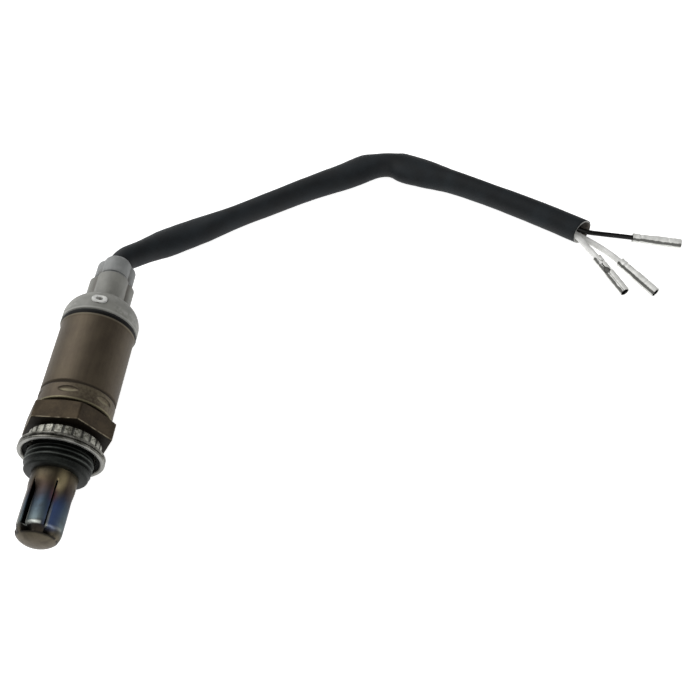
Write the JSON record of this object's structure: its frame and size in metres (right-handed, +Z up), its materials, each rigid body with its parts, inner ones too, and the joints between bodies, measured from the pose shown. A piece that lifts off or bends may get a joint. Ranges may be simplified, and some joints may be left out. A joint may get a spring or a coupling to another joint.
{
  "type": "oxygen sensor",
  "caption": "Heated thimble-type oxygen sensor with a louvred protective tube, threaded hexagon housing, captive seal ring, rubber boot and flying leads in a hose.",
  "frame": {"origin": "on the sensor's axis, in the underside of its hexagon", "axes": "+Y along the sensor's axis from its nose to its boot, +Z up from the surface it lies on, metres"},
  "size_m": [0.189, 0.1551, 0.0232],
  "materials": {
    "housing": "heat-darkened plated steel, satin",
    "tube": "stainless steel with blue, purple and straw heat tint",
    "ring": "light steel with dark blotches",
    "sleeve": "stainless steel tinted brown by heat, satin",
    "boot": "grey moulded rubber, matte",
    "eyelet": "white fluoropolymer, matte",
    "seal": "nickel-plated washer",
    "sensor_ceramic": "zirconia ceramic with a porous coat, matte",
    "contact": "nickel-alloy strip",
    "support_ceramic": "steatite ceramic, matte",
    "spring": "spring steel",
    "heater": "alumina ceramic, matte",
    "clip_a": "nickel-alloy strip",
    "clip_b": "nickel-alloy strip",
    "guide": "steatite ceramic, matte",
    "signal_ferrule": "tinned sleeve",
    "heater_ferrule_a": "tinned sleeve",
    "heater_ferrule_b": "tinned sleeve",
    "sleeving": "black varnished glass-fibre hose, slight sheen",
    "black_wire": "black insulation, satin",
    "white_wire_a": "white insulation, satin",
    "white_wire_b": "white insulation, satin",
    "connector_black": "tin-plated, bright",
    "connector_white_a": "tin-plated, bright",
    "connector_white_b": "tin-plated, bright"
  },
  "bodies": {
    "root": {"housing": "housing", "protective_tube": "tube", "seal_ring": "ring", "protective_sleeve": "sleeve", "grommet": "boot", "vent_eyelet": "eyelet", "element_seal": "seal", "sensor_ceramic": "sensor_ceramic", "contact_part": "contact", "support_tube": "support_ceramic", "disc_spring": "spring", "heater_rod": "heater", "heater_clip_a": "clip_a", "heater_clip_b": "clip_b", "wire_guide": "guide", "signal_ferrule": "signal_ferrule", "heater_ferrule_a": "heater_ferrule_a", "heater_ferrule_b": "heater_ferrule_b", "sleeving": "sleeving", "black_wire": "black_wire", "white_wire_a": "white_wire_a", "white_wire_b": "white_wire_b", "connector_black": "connector_black", "connector_white_a": "connector_white_a", "connector_white_b": "connector_white_b"}
  },
  "joints": []
}
